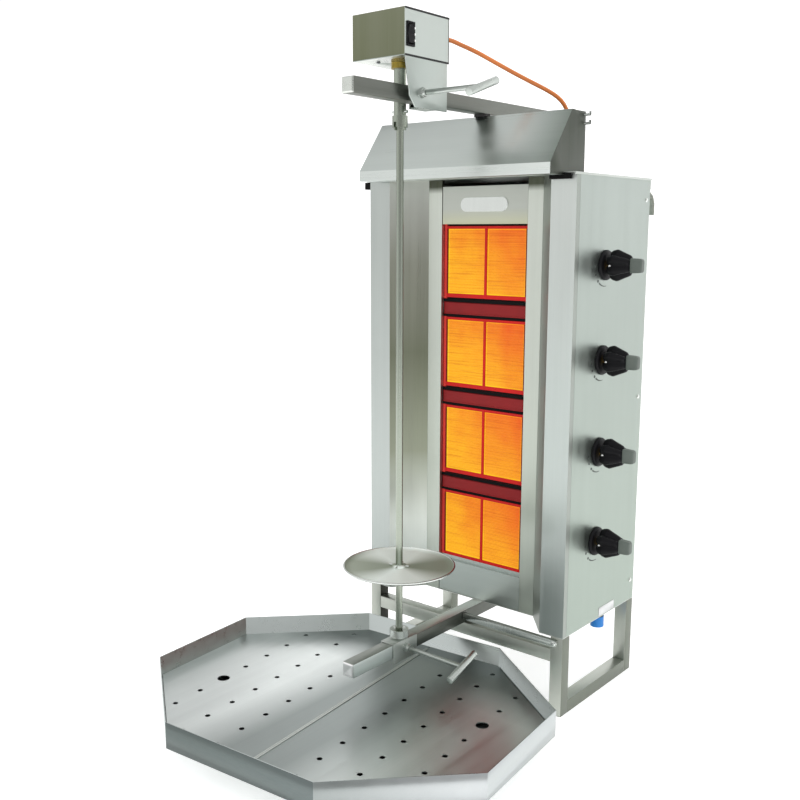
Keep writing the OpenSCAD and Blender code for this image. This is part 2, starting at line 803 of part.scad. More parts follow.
// A round tube swept along a list of points
module swept_tube(points, d, sides = 8) {
    last = len(points) - 1;
    ring = function(i)
        let (
            along = unit(points[min(i + 1, last)] - points[max(i - 1, 0)]),
            side = unit(cross([0, 0, 1], along)),
            up = cross(along, side)
        )
        [for (k = [0:sides - 1]) let (a = 360 * k / sides)
            points[i] + d / 2 * (cos(a) * side + sin(a) * up)];
    polyhedron(
        points = [for (i = [0:last]) each ring(i)],
        faces = concat(
            [[for (k = [sides - 1:-1:0]) k]],
            [for (i = [0:last - 1], k = [0:sides - 1]) let (n = (k + 1) % sides)
                [i * sides + k, i * sides + n, (i + 1) * sides + n, (i + 1) * sides + k]],
            [[for (k = [0:sides - 1]) last * sides + k]]
        )
    );
}

module lead_span() color([0.85, 0.45, 0.15]) on_cabinet() {
    swept_tube(lead_points, lead_d);
}

module lead_coil() color([0.85, 0.45, 0.15]) on_cabinet() {
    translate([coil_x, coil_y, coil_z]) rotate_extrude($fn = 72)
        translate([coil_d / 2 - lead_d, 0]) square([2 * lead_d, coil_rise]);
}

module lead_tail() color([0.85, 0.45, 0.15]) on_cabinet() {
    swept_tube(tail_points, lead_d);
}

// Two-pin plug lying on the lid, its neck towards the coil
module mains_plug() color(black) on_cabinet() {
    neck_l = 19;
    body_l = 20;
    translate([plug_x, plug_y, plug_z]) rotate([0, -90, 0]) {
        cylinder(d1 = 14, d2 = 30, h = neck_l + 0.1, $fn = 48);
        translate([0, 0, neck_l]) cylinder(d = 37, h = body_l, $fn = 72);
        for (y = [-9.5, 9.5])
            translate([0, y, neck_l + body_l - 0.1]) cylinder(d = 4.8, h = 19, $fn = 32);
    }
}

frame_legs();
floor_runners();
front_crossbar();
front_stay();
bottom_panel();
back_panel();
side_panel_left();
side_panel_right();
front_wings();
burner_frame();
trim_plates();
top_cap();
heat_hood();
hood_brackets();
burner_bodies();
ceramic_plaques();
burner_spacers();
gas_manifold();
gas_valves();
gas_injectors();
thermocouples();
knob_bezels();
gas_inlet_cap();
data_plate();
wall_spacers();
upper_arm();
arm_post();
arm_pad();
lower_arm();
panel_screws();
motor_cover();
motor_bracket();
gear_motor();
shaft_bushing();
switch_bezel();
cord_gland();
switch_rocker();
upper_clamp_handle();
drive_coupler();
coupler_pins();
spit_shaft();
meat_disc();
lower_slider();
bearing_cup();
lower_clamp_handle();
valve_stem_1();
valve_stem_2();
valve_stem_3();
valve_stem_4();
knob_1();
knob_2();
knob_3();
knob_4();
drip_tray();
tray_insert_left();
tray_insert_right();
lead_span();
lead_coil();
lead_tail();
mains_plug();
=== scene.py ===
"""Looks of the gas vertical rotisserie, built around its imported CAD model."""
import bpy
import bmesh
import math
from mathutils import Matrix, Vector


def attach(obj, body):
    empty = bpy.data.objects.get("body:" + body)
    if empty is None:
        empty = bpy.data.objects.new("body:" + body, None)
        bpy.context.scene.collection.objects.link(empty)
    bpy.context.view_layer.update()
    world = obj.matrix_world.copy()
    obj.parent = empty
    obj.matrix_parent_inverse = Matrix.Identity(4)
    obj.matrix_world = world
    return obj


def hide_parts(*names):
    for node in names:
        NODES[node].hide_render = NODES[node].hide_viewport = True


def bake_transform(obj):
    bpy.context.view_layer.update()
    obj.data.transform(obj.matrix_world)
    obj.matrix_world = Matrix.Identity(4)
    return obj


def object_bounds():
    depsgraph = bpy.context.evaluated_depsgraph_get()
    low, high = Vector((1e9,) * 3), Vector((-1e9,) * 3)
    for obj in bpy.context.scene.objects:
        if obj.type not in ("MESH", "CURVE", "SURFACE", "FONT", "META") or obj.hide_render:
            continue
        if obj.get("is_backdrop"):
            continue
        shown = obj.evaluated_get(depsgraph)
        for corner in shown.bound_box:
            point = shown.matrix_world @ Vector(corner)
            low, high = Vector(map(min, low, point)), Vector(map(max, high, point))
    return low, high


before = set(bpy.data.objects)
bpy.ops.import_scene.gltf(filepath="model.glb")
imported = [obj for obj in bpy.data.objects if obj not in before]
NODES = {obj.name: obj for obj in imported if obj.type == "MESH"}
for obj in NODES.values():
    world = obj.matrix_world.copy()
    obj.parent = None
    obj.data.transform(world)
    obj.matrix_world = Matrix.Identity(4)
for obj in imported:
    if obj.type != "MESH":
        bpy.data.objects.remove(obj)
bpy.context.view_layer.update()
TAU = 2 * math.pi
X, Z = Vector((1, 0, 0)), Vector((0, 0, 1))
# The middle of the cabinet's front edge, in the row frame
ORIGIN_X, ORIGIN_Y = 0.026, 0.142


def at(x, y, z):
    """A point given in millimetres from the middle of the cabinet's front edge."""
    return Vector((x / 1000 + ORIGIN_X, y / 1000 + ORIGIN_Y, z / 1000))


# Camera --------------------------------------------------------------------------------------
LENS_MM, SENSOR_MM = 43.86, 36
CAM_AT = Vector((1.0600, -1.2741, 0.8456))
YAW_DEG, PITCH_DEG, ROLL_DEG = -39.86, -9.72, 0.11
cam_data = bpy.data.cameras.new("camera")
cam_data.lens = LENS_MM
cam_data.sensor_width = SENSOR_MM
cam = bpy.data.objects.new("camera", cam_data)
bpy.context.scene.collection.objects.link(cam)
yaw, pitch, roll = (math.radians(a) for a in (YAW_DEG, PITCH_DEG, ROLL_DEG))
flat_look = math.cos(pitch)
look = Vector((math.sin(yaw) * flat_look, math.cos(yaw) * flat_look, math.sin(pitch)))
cam.matrix_world = Matrix.Translation(CAM_AT) @ (
    look.to_track_quat("-Z", "Y").to_matrix().to_4x4() @ Matrix.Rotation(roll, 4, "Z")
)
bpy.context.scene.camera = cam


# Mesh helpers --------------------------------------------------------------------------------
def add(name, verts, faces, material, body, slot=None, smooth=35, bevel=0.0):
    """A new piece from points in metres; it rides on a body unless body is None."""
    mesh = bpy.data.meshes.new(name)
    mesh.from_pydata([tuple(v) for v in verts], [], faces)
    bm = bmesh.new()
    bm.from_mesh(mesh)
    bmesh.ops.remove_doubles(bm, verts=bm.verts, dist=1e-6)
    bmesh.ops.recalc_face_normals(bm, faces=bm.faces)
    bm.to_mesh(mesh)
    bm.free()
    obj = bpy.data.objects.new(name, mesh)
    bpy.context.scene.collection.objects.link(obj)
    for each in material if isinstance(material, (list, tuple)) else [material]:
        mesh.materials.append(each)
    soften(obj, smooth, bevel)
    if body:
        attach(obj, body)
    return obj


def soften(obj, smooth=35, bevel=0.0, weld=False):
    """Rounds the sharp edges a little and shades the rest smooth."""
    if weld:
        obj.modifiers.new("weld", "WELD").merge_threshold = 1e-5
    if bevel:
        edge = obj.modifiers.new("bevel", "BEVEL")
        edge.width = bevel
        edge.segments = 2
        edge.limit_method = "ANGLE"
        edge.angle_limit = math.radians(smooth)
    for poly in obj.data.polygons:
        poly.use_smooth = True
    obj.data.set_sharp_from_angle(angle=math.radians(smooth))


def box_mesh(low, high):
    """A box from its low and high corners, in metres."""
    (x0, y0, z0), (x1, y1, z1) = low, high
    verts = [(x, y, z) for z in (z0, z1) for y in (y0, y1) for x in (x0, x1)]
    faces = [(0, 2, 3, 1), (4, 5, 7, 6), (0, 1, 5, 4), (2, 6, 7, 3), (0, 4, 6, 2), (1, 3, 7, 5)]
    return verts, faces


def merge(parts):
    """Several meshes as one."""
    verts, faces = [], []
    for v, f in parts:
        base = len(verts)
        verts += [tuple(p) for p in v]
        faces += [tuple(i + base for i in face) for face in f]
    return verts, faces


def boxes(*pairs):
    """Boxes given by low and high corners in cabinet millimetres."""
    return merge([box_mesh(at(*low), at(*high)) for low, high in pairs])


def slab(x, y, z):
    """Low and high corners of a box from its three ranges."""
    return tuple(zip(x, y, z))


def ring_faces(steps, n):
    """Faces between rings of n points that follow each other."""
    return [(n * k + m, n * k + (m + 1) % n, n * k + n + (m + 1) % n, n * k + n + m)
            for k in range(steps) for m in range(n)]


def revolve(profile, place, n=64, radius_of=None):
    """Turns (height, radius) pairs in metres round the Z axis of place. Radius 0 closes an end."""
    verts, faces, rings = [], [], []
    for h, r in profile:
        if r == 0:
            verts.append(place @ Vector((0, 0, h)))
            rings.append([len(verts) - 1])
            continue
        ring = []
        for k in range(n):
            a = TAU * k / n
            rr = radius_of(r, a) if radius_of else r
            verts.append(place @ Vector((rr * math.cos(a), rr * math.sin(a), h)))
            ring.append(len(verts) - 1)
        rings.append(ring)
    for a, b in zip(rings, rings[1:]):
        for k in range(n):
            m = (k + 1) % n
            if len(a) == 1:
                faces.append((a[0], b[m], b[k]))
            elif len(b) == 1:
                faces.append((a[k], a[m], b[0]))
            else:
                faces.append((a[k], a[m], b[m], b[k]))
    return verts, faces


def along(origin, direction):
    """A place whose local Z axis runs along direction."""
    turn = Vector(direction).normalized().to_track_quat("Z", "Y").to_matrix().to_4x4()
    return Matrix.Translation(origin) @ turn


def tube(points, radius, sides):
    """A closed round tube along points; its rings are carried along without twisting."""
    verts = []
    last = len(points) - 1
    side = None
    for i, p in enumerate(points):
        d = (points[min(i + 1, last)] - points[max(i - 1, 0)]).normalized()
        side = d.orthogonal() if side is None else side - d * side.dot(d)
        side.normalize()
        up = d.cross(side)
        r = radius(i / last) if callable(radius) else radius
        for k in range(sides):
            a = TAU * k / sides
            verts.append(p + r * (math.cos(a) * side + math.sin(a) * up))
    start = tuple(range(sides - 1, -1, -1))
    end = tuple(last * sides + k for k in range(sides))
    return verts, ring_faces(last, sides) + [start, end]


def curve_through(points, step):
    """Points at about that spacing on a smooth curve through the given ones."""
    out = []
    for i in range(len(points) - 1):
        p0, p1 = points[max(i - 1, 0)], points[i]
        p2, p3 = points[i + 1], points[min(i + 2, len(points) - 1)]
        n = max(1, round((p2 - p1).length / step))
        for k in range(n):
            t = k / n
            out.append(0.5 * (2 * p1 + (p2 - p0) * t + (2 * p0 - 5 * p1 + 4 * p2 - p3) * t * t
                              + (3 * p1 - p0 - 3 * p2 + p3) * t ** 3))
    return out + [points[-1]]


# Materials -----------------------------------------------------------------------------------
MIX_SOCKETS = (0, 6, 7)  # factor and the two colours of a colour mix node


def principled(name, color, rough, metallic=0.0, **sockets):
    material = bpy.data.materials.new(name)
    material.use_nodes = True
    shader = material.node_tree.nodes["Principled BSDF"]
    shader.inputs["Base Color"].default_value = (*color, 1)
    shader.inputs["Roughness"].default_value = rough
    shader.inputs["Metallic"].default_value = metallic
    for socket, value in sockets.items():
        shader.inputs[socket.replace("_", " ")].default_value = value
    return material, material.node_tree, shader


def noise(tree, scale, detail=3.0, stretch=(1, 1, 1), kind="ShaderNodeTexNoise"):
    """A noise or cell texture in object space, squeezed by stretch."""
    coord = tree.nodes.new("ShaderNodeTexCoord")
    mapping = tree.nodes.new("ShaderNodeMapping")
    mapping.inputs["Scale"].default_value = stretch
    tree.links.new(coord.outputs["Object"], mapping.inputs["Vector"])
    tex = tree.nodes.new(kind)
    tex.inputs["Scale"].default_value = scale
    if kind == "ShaderNodeTexNoise":
        tex.inputs["Detail"].default_value = detail
    tree.links.new(mapping.outputs["Vector"], tex.inputs["Vector"])
    return tex


def spread(tree, value, low, high, from_low=0.3, from_high=0.7):
    """A value moved from one range to another, and held inside it."""
    node = tree.nodes.new("ShaderNodeMapRange")
    node.inputs["From Min"].default_value = from_low
    node.inputs["From Max"].default_value = from_high
    node.inputs["To Min"].default_value = low
    node.inputs["To Max"].default_value = high
    tree.links.new(value, node.inputs["Value"])
    return node.outputs["Result"]


def math_node(tree, operation, a, b):
    """A sum, product or the like of sockets and plain numbers."""
    node = tree.nodes.new("ShaderNodeMath")
    node.operation = operation
    for socket, value in zip(node.inputs, (a, b)):
        if isinstance(value, (int, float)):
            socket.default_value = value
        else:
            tree.links.new(value, socket)
    return node.outputs[0]


def tint(tree, color_a, color_b, factor):
    """A mix of two colours; each of the three is a socket or a plain value."""
    node = tree.nodes.new("ShaderNodeMix")
    node.data_type = "RGBA"
    factor_in, a_in, b_in = (node.inputs[k] for k in MIX_SOCKETS)
    for socket, value in ((a_in, color_a), (b_in, color_b), (factor_in, factor)):
        if isinstance(value, tuple):
            socket.default_value = (*value, 1)
        elif isinstance(value, (int, float)):
            socket.default_value = value
        else:
            tree.links.new(value, socket)
    return node.outputs[2]


def bump(tree, shader, height, distance, strength=1.0):
    node = tree.nodes.new("ShaderNodeBump")
    node.inputs["Distance"].default_value = distance
    node.inputs["Strength"].default_value = strength
    tree.links.new(height, node.inputs["Height"])
    tree.links.new(node.outputs["Normal"], shader.inputs["Normal"])


def rgb(*values, gain=1.0):
    """A screen colour, 0 to 255, as a linear one."""
    def linear(v):
        return v / 255 / 12.92 if v < 10.3 else ((v / 255 + 0.055) / 1.055) ** 2.4
    return tuple(min(1.0, gain * linear(v)) for v in values)


def place_ramp(tree, axis, start, end):
    """0 to 1 between two places along an axis, given in cabinet millimetres."""
    coord = tree.nodes.new("ShaderNodeTexCoord")
    split = tree.nodes.new("ShaderNodeSeparateXYZ")
    tree.links.new(coord.outputs["Object"], split.inputs[0])
    shift = {"x": ORIGIN_X, "y": ORIGIN_Y, "z": 0.0}[axis]
    place = split.outputs["xyz".index(axis)]
    return spread(tree, place, 0, 1, start / 1000 + shift, end / 1000 + shift)


def steel(name, color, rough=0.34, grain="z", streak=0.05, blotch=0.05, painted_shading=()):
    """Brushed stainless: fine and coarse streaks along one axis, faint cloudy patches.

    Each ramp is (axis, start, end, colour): the painted shade or reflection that the sheet runs to
    between two places.
    """
    base = rgb(*color, gain=STEEL_GAIN)
    material, tree, shader = principled(name, base, rough, metallic=1.0)
    shader.inputs["Anisotropic"].default_value = 0.35
    fine = tuple(6 if axis == grain else 900 for axis in "xyz")
    coarse = tuple(1.5 if axis == grain else 60 for axis in "xyz")
    lines = noise(tree, 1, 2, fine).outputs["Fac"]
    bands = noise(tree, 1, 3, coarse).outputs["Fac"]
    clouds = noise(tree, 4.5, 4).outputs["Fac"]
    mixed = math_node(tree, "ADD", math_node(tree, "MULTIPLY", lines, 0.4),
                      math_node(tree, "MULTIPLY", bands, 0.6))
    # Painted shade and reflection: each ramp darkens or lightens the sheet along an axis
    for axis, start, end, other in painted_shading:
        base = tint(tree, base, rgb(*other, gain=STEEL_GAIN), place_ramp(tree, axis, start, end))
    dark = tint(tree, base, (0, 0, 0), streak)
    light = tint(tree, base, (1, 1, 1), streak * 0.6)
    streaked = tint(tree, dark, light, spread(tree, mixed, 0, 1, 0.35, 0.65))
    patchy = spread(tree, clouds, blotch, 0)
    tree.links.new(tint(tree, streaked, (0, 0, 0), patchy), shader.inputs["Base Color"])
    tree.links.new(spread(tree, mixed, rough - 0.06, rough + 0.08), shader.inputs["Roughness"])
    bump(tree, shader, lines, 0.00004, 0.5)
    return material


TONE_VARY = 0.12


def satin(name, color, rough, grain_scale, depth, metallic=0.0, **sockets):
    """Moulded or painted surface: fine grain, and a faint change of tone and gloss."""
    material, tree, shader = principled(name, color, rough, metallic, **sockets)
    grain = noise(tree, grain_scale, 2).outputs["Fac"]
    tone = noise(tree, 18, 3).outputs["Fac"]
    dark = tuple(c * (1 - TONE_VARY) for c in color)
    light = tuple(min(1, c * (1 + TONE_VARY)) for c in color)
    tree.links.new(tint(tree, dark, light, spread(tree, tone, 0, 1)), shader.inputs["Base Color"])
    tree.links.new(spread(tree, tone, rough - 0.05, rough + 0.07), shader.inputs["Roughness"])
    bump(tree, shader, grain, depth, 0.6)
    return material


GLOW_HALF = 0.085


def glowing_ceramic(name, cool, hot):
    """Glowing plaque: hotter to the lower left, in broad patches, with fine holes and lines."""
    material, tree, shader = principled(name, cool, 0.8)
    holes = noise(tree, 420, kind="ShaderNodeTexVoronoi").outputs["Distance"]
    patches = noise(tree, 22, 4, (1, 1, 0.7)).outputs["Fac"]
    streaks = noise(tree, 1, 2, (12, 1, 420)).outputs["Fac"]
    coord = tree.nodes.new("ShaderNodeTexCoord")
    split = tree.nodes.new("ShaderNodeSeparateXYZ")
    tree.links.new(coord.outputs["Object"], split.inputs[0])
    up = math_node(tree, "FRACT", math_node(tree, "DIVIDE", math_node(
        tree, "SUBTRACT", split.outputs[2], BURNER_Z / 1000), PITCH / 1000), 0)
    across = spread(tree, split.outputs[0], 0, 1, ORIGIN_X - GLOW_HALF, ORIGIN_X + GLOW_HALF)
    chill = math_node(tree, "ADD", math_node(tree, "MULTIPLY", up, 0.55),
                      math_node(tree, "MULTIPLY", across, 0.4))
    chill = math_node(tree, "ADD", chill, math_node(tree, "MULTIPLY", patches, 0.5))
    warm = tint(tree, hot, cool, spread(tree, chill, 0, 1, 0.45, 1.05))
    ember = tint(tree, warm, rgb(190, 70, 10), 0.35)
    lined = tint(tree, ember, warm, spread(tree, streaks, 0, 1, 0.3, 0.5))
    pit = tint(tree, lined, rgb(170, 50, 5), 0.5)
    lit = tint(tree, pit, lined, spread(tree, holes, 0, 1, 0.1, 0.3))
    tree.links.new(tint(tree, lit, (0, 0, 0), 0.8), shader.inputs["Base Color"])
    tree.links.new(lit, shader.inputs["Emission Color"])
    shader.inputs["Emission Strength"].default_value = 0.87
    bump(tree, shader, holes, 0.0004, 0.5)
    return material


def turned(name, color, rough, centre, lit=None, metallic=1.0):
    """Turned on a lathe: rings round an axis; a painted highlight band in the lit colour across it."""
    base = rgb(*color, gain=STEEL_GAIN)
    material, tree, shader = principled(name, base, rough, metallic)
    coord = tree.nodes.new("ShaderNodeTexCoord")
    offset = tree.nodes.new("ShaderNodeVectorMath")
    offset.operation = "SUBTRACT"
    offset.inputs[1].default_value = centre
    tree.links.new(coord.outputs["Object"], offset.inputs[0])
    flat = tree.nodes.new("ShaderNodeVectorMath")
    flat.operation = "MULTIPLY"
    flat.inputs[1].default_value = (1, 1, 0)
    tree.links.new(offset.outputs["Vector"], flat.inputs[0])
    length = tree.nodes.new("ShaderNodeVectorMath")
    length.operation = "LENGTH"
    tree.links.new(flat.outputs["Vector"], length.inputs[0])
    rings = tree.nodes.new("ShaderNodeTexNoise")
    rings.noise_dimensions = "1D"
    rings.inputs["Scale"].default_value = 900
    rings.inputs["Detail"].default_value = 3
    tree.links.new(length.outputs["Value"], rings.inputs["W"])
    # Painted highlight: the lit colour along one direction
    if lit:
        band = tree.nodes.new("ShaderNodeVectorMath")
        band.operation = "DOT_PRODUCT"
        band.inputs[1].default_value = HIGHLIGHT_WAY
        tree.links.new(flat.outputs["Vector"], band.inputs[0])
        cosine = math_node(tree, "DIVIDE", band.outputs["Value"], length.outputs["Value"])
        base = tint(tree, base, rgb(*lit, gain=STEEL_GAIN),
                    spread(tree, math_node(tree, "MULTIPLY", cosine, cosine), 0, 1, 0.1, 0.8))
    marks = spread(tree, rings.outputs["Fac"], 0, 1, 0.35, 0.65)
    dark = tint(tree, base, (0, 0, 0), 0.10)
    tree.links.new(tint(tree, dark, base, marks), shader.inputs["Base Color"])
    gloss = spread(tree, rings.outputs["Fac"], rough - 0.05, rough + 0.07)
    tree.links.new(gloss, shader.inputs["Roughness"])
    bump(tree, shader, rings.outputs["Fac"], 0.00005, 0.5)
    return material


BURNER_Z, PITCH, BURNERS = 219, 169.5, 4
KNOB_Z, KNOB_PITCH, KNOB_Y, PANEL_X = 300, 164, 105, 222.5
SPIT_Y = -179
SPIT_AT = at(0, SPIT_Y, 0)
HIGHLIGHT_WAY = (-0.64, 0.77, 0)  # direction of the painted highlight band across the disc
STEEL_GAIN = 1.12
# Painted shade: the right side panel darkens towards the bottom
SIDE_RIGHT = steel("sheet_right", (165, 173, 168), 0.36, "z", 0.015, 0.03, painted_shading=[
    ("z", 900, 200, (154, 165, 156))])
SHEET_V = steel("sheet_upright", (170, 177, 172), 0.36, "z", streak=0.03)
# Painted shade: the flanges darken towards the bottom; the right flange is a lighter, painted-light
# copy with its own painted shade bands
FLANGE = steel("sheet_flange", (181, 187, 183), 0.34, "z", painted_shading=[("z", 900, 200, (166, 173, 170))])
FLANGE_RIGHT = steel("sheet_flange_right", (207, 212, 208), 0.34, "z", painted_shading=[
    ("z", 930, 560, (182, 190, 186)), ("z", 560, 200, (166, 174, 171))])
# Painted reflection: light and dark bands down the splayed side facing right
SPLAY = steel("sheet_splay", (203, 206, 198), 0.32, "z", painted_shading=[
    ("z", 915, 790, (157, 159, 146)), ("z", 790, 620, (113, 117, 99)),
    ("z", 620, 425, (134, 139, 122)), ("z", 425, 235, (222, 228, 222))])
# Painted shade: a darker copy for splayed faces turned away from the light, and for the far edge
SPLAY_SHADED = steel("sheet_splay_shaded", (150, 156, 150), 0.34, "z")
# Painted reflection bands down the burner strips, and a painted shadow of the hood lip at the top
STRIP = steel("sheet_strip", (208, 213, 204), 0.34, "z", painted_shading=[
    ("z", 900, 620, (189, 195, 186)), ("z", 620, 400, (174, 181, 171)),
    ("z", 400, 230, (188, 195, 186)), ("z", 918, 930, (84, 88, 74))])
# Painted reflection: a warmer, lighter tint just above the top burner and a cooler one low down
TRIM = steel("sheet_trim", (186, 190, 182), 0.34, "x", painted_shading=[
    ("z", 890, 864, (196, 198, 172)), ("z", 400, 300, (186, 194, 190))])
# Painted shade and highlight: the hood darkens towards its right end, the lip is a lighter copy
# brightening to the right, the cheek a dark copy
HOOD = steel("sheet_hood", (190, 197, 193), 0.32, "x", painted_shading=[("x", 120, 203, (128, 137, 130))])
HOOD_LIP = steel("sheet_hood_lip", (212, 218, 214), 0.3, "x", painted_shading=[
    ("x", 60, 200, (236, 243, 238))])
CHEEK = steel("sheet_cheek", (82, 86, 79), 0.4, "z")
SHEET_X = steel("sheet_across", (190, 195, 190), 0.33, "x")
SHEET_Y = steel("sheet_lengthwise", (188, 193, 188), 0.36, "y")
# Painted shade: a darker, olive-tinted copy of the housing steel for its front face, darkening
# downwards
MOTOR_FRONT_SHADED = steel("sheet_motor_front_shaded", (122, 126, 103), 0.38, "z", painted_shading=[("z", 1181, 1111, (116, 120, 96))])
MOTOR_SIDE = steel("sheet_motor_side", (183, 190, 185), 0.34, "z", streak=0.03, blotch=0.04)
BRACKET = steel("sheet_bracket", (174, 182, 177), 0.34, "z", streak=0.03)
# Painted shade: the inserts darken towards the left and the front
TRAY_FLOOR = steel("sheet_tray", (230, 235, 233), 0.34, "y", blotch=0.08, painted_shading=[
    ("x", -156, -60, (148, 155, 153)), ("x", 40, 174, (226, 232, 229)),
    ("y", -172, -90, (152, 159, 157))])
# Painted light and shade by face: the tray's walls in lit and shaded copies, the front wall darkest
TRAY_DIAGONAL = steel("sheet_tray_diagonal", (137, 144, 142), 0.34, "x", painted_shading=[
    ("x", 120, 300, (188, 192, 193))])
TRAY_SIDE = steel("sheet_tray_side", (183, 188, 188), 0.34, "y")
TRAY_WALL = steel("sheet_tray_wall", (192, 199, 197), 0.3, "x")
TRAY_SHADED = steel("sheet_tray_shaded", (96, 105, 103), 0.36, "x", painted_shading=[
    ("x", -80, 130, (104, 113, 112))])
# Painted light and shade: lit, half-shaded and shaded copies of the frame steel, given by face
FRAME_LIT = steel("frame_lit", (176, 180, 172), 0.38, "z")
FRAME_HALF_SHADED = steel("frame_half_shaded", (118, 123, 113), 0.42, "z")
FRAME_SHADED = steel("frame_shaded", (52, 52, 47), 0.5, "z")
STAY_TOP = steel("stay_top", (150, 156, 148), 0.4, "x")
# Painted light and shade by face: arm sides shaded, tops between, ends lit; ramps paint shade and
# highlight along the lower arm
ARM_SIDE = steel("arm_side", (114, 117, 111), 0.4, "y")
LOWER_SIDE = steel("lower_arm_side", (114, 117, 111), 0.4, "y", painted_shading=[
    ("y", -60, -20, (96, 99, 93)), ("y", -186, -206, (205, 213, 210))])
LOWER_TOP = steel("lower_arm_top", (160, 164, 158), 0.38, "y", painted_shading=[
    ("y", -170, -60, (226, 229, 223))])
ARM_TOP = steel("arm_top", (132, 135, 128), 0.38, "y")
# Painted highlight: a near-white copy for the lower arm's end cap
ARM_END_HIGHLIGHT = steel("arm_end_highlight", (250, 252, 250), 0.3, "x", streak=0.02)
ARM_END = steel("arm_end", (206, 210, 204), 0.28, "x", streak=0.03)
BRIGHT = steel("bright_bar", (214, 218, 214), 0.22, "z", streak=0.04, blotch=0.05)
TURNED = turned("turned_bar", (160, 167, 155), 0.24, SPIT_AT)
# Painted highlight: a light band across the turned disc
DISC_TOP = turned("turned_disc", (142, 150, 134), 0.46, SPIT_AT, (232, 239, 234), 0.6)
BRASS = steel("brass", (190, 160, 90), 0.30, "x")
BUSHING = steel("bushing_brass", (158, 136, 60), 0.34, "z")
COPPER = steel("copper", (205, 140, 100), 0.32, "x")
# Painted light: the red trims and bands glow by emission in place of the plaques' light falling on
# them; the lit and side copies are lighter, the shaded copy darker
RED_LIT = satin("burner_red_lit", rgb(178, 24, 22), 0.5, 240, 0.00008, Specular_IOR_Level=0.2,
                Emission_Color=(*rgb(150, 14, 12), 1), Emission_Strength=0.3)
RED_LIT_SIDES = satin("burner_red_lit_sides", rgb(196, 58, 52), 0.5, 240, 0.00008, Specular_IOR_Level=0.2,
                 Emission_Color=(*rgb(170, 40, 34), 1), Emission_Strength=0.3)
BAND = satin("burner_band", rgb(120, 26, 28), 0.5, 240, 0.00008, Specular_IOR_Level=0.2,
             Emission_Color=(*rgb(110, 20, 22), 1), Emission_Strength=0.3)
RED_SHADED = satin("burner_red_shaded", rgb(112, 22, 20), 0.6, 240, 0.00008, Specular_IOR_Level=0.2)
CERAMIC = glowing_ceramic("glowing_ceramic", rgb(232, 96, 22), rgb(250, 176, 26))
CERAMIC_EDGE = glowing_ceramic("glowing_edge", rgb(246, 140, 20), rgb(255, 206, 30))
BLACK = satin("black_moulded", (0.005, 0.005, 0.006), 0.4, 500, 0.00003, Specular_IOR_Level=0.15)
HANDLE = steel("turned_handle", (184, 190, 185), 0.28, "x", streak=0.04)
GREY_GRIP = satin("grey_grip", rgb(88, 96, 90), 0.45, 500, 0.00003)
BLACK_MATT = satin("black_matt", (0.006, 0.006, 0.006), 0.8, 300, 0.00006, Specular_IOR_Level=0.1)
RUBBER = satin("black_rubber", (0.02, 0.02, 0.02), 0.75, 260, 0.0001)
WHITE = satin("white_print", (0.85, 0.85, 0.83), 0.5, 400, 0.00002)
PRINT = satin("dark_print", rgb(70, 76, 72), 0.55, 400, 0.00002)
BLUE = satin("blue_cap", rgb(20, 120, 200), 0.35, 300, 0.00004)
LABEL = satin("blank_label", (0.72, 0.73, 0.73), 0.35, 300, 0.00002, metallic=0.8)
IRON = satin("motor_iron", (0.16, 0.17, 0.18), 0.5, 220, 0.0002, metallic=0.6)
LEAD = satin("orange_lead", rgb(196, 112, 52), 0.42, 300, 0.00004)

# Mains lead ----------------------------------------------------------------------------------
# Out of the drive housing, over the hood, down behind it, coiled on the lid, then the plug
LEAD_R = 0.0035
COIL = at(97, 131, 0)
COIL_OUT, COIL_IN = 0.0415, 0.0345
LAYERS = (0.9485, 0.9555, 0.9625, 0.9695)
SPAN = [at(*p) for p in (
    (30, -100, 1155), (30, -92, 1155), (31.6, -81.5, 1154.2), (36, -69.5, 1150.6), (49, -44, 1141.5),
    (60, -22, 1132), (70, -2, 1123), (84, 18, 1112), (98, 35, 1102), (113, 51, 1092),
    (126, 64, 1083), (136, 76, 1074), (143, 87, 1062), (147, 95, 1045), (149, 98.4, 1025),
    (149, 99, 1003), (147.5, 99, 980.5), (145.6, 100.1, 972.2), (143.6, 103.3, 964.5),
    (141.7, 108.4, 957.9), (140.1, 115, 952.8), (139, 122.7, 949.6), (138.5, 131, 948.5))]
CELLS = [(COIL_OUT, LAYERS[0]), (COIL_IN, LAYERS[0]), (COIL_IN, LAYERS[1]),
         (COIL_OUT, LAYERS[1]), (COIL_OUT, LAYERS[2]), (COIL_OUT, LAYERS[3])]
TURN_STEPS, LEAVE_AT = 40, 20  # points in a turn, and in the part turn at the end
SHIFT_FROM = 0.7  # share of a turn after which the lead moves to its next place
SPAN_STEP, TAIL_STEP, LEAD_SIDES = 0.008, 0.006, 14


def coil_points():
    """Turn after turn in its own place in the winding, changing place over its last third."""
    points = []
    for k in range(1, TURN_STEPS * (len(CELLS) - 1) + LEAVE_AT + 1):
        turn, part = divmod(k / TURN_STEPS, 1)
        turn = int(turn)
        shift = max(0.0, (part - SHIFT_FROM) / (1 - SHIFT_FROM))
        shift = shift * shift * (3 - 2 * shift)
        r, z = CELLS[turn]
        r2, z2 = CELLS[min(turn + 1, len(CELLS) - 1)]
        a = TAU * k / TURN_STEPS
        reach = r + (r2 - r) * shift
        points.append(COIL + Vector((reach * math.cos(a), reach * math.sin(a), z + (z2 - z) * shift)))
    return points


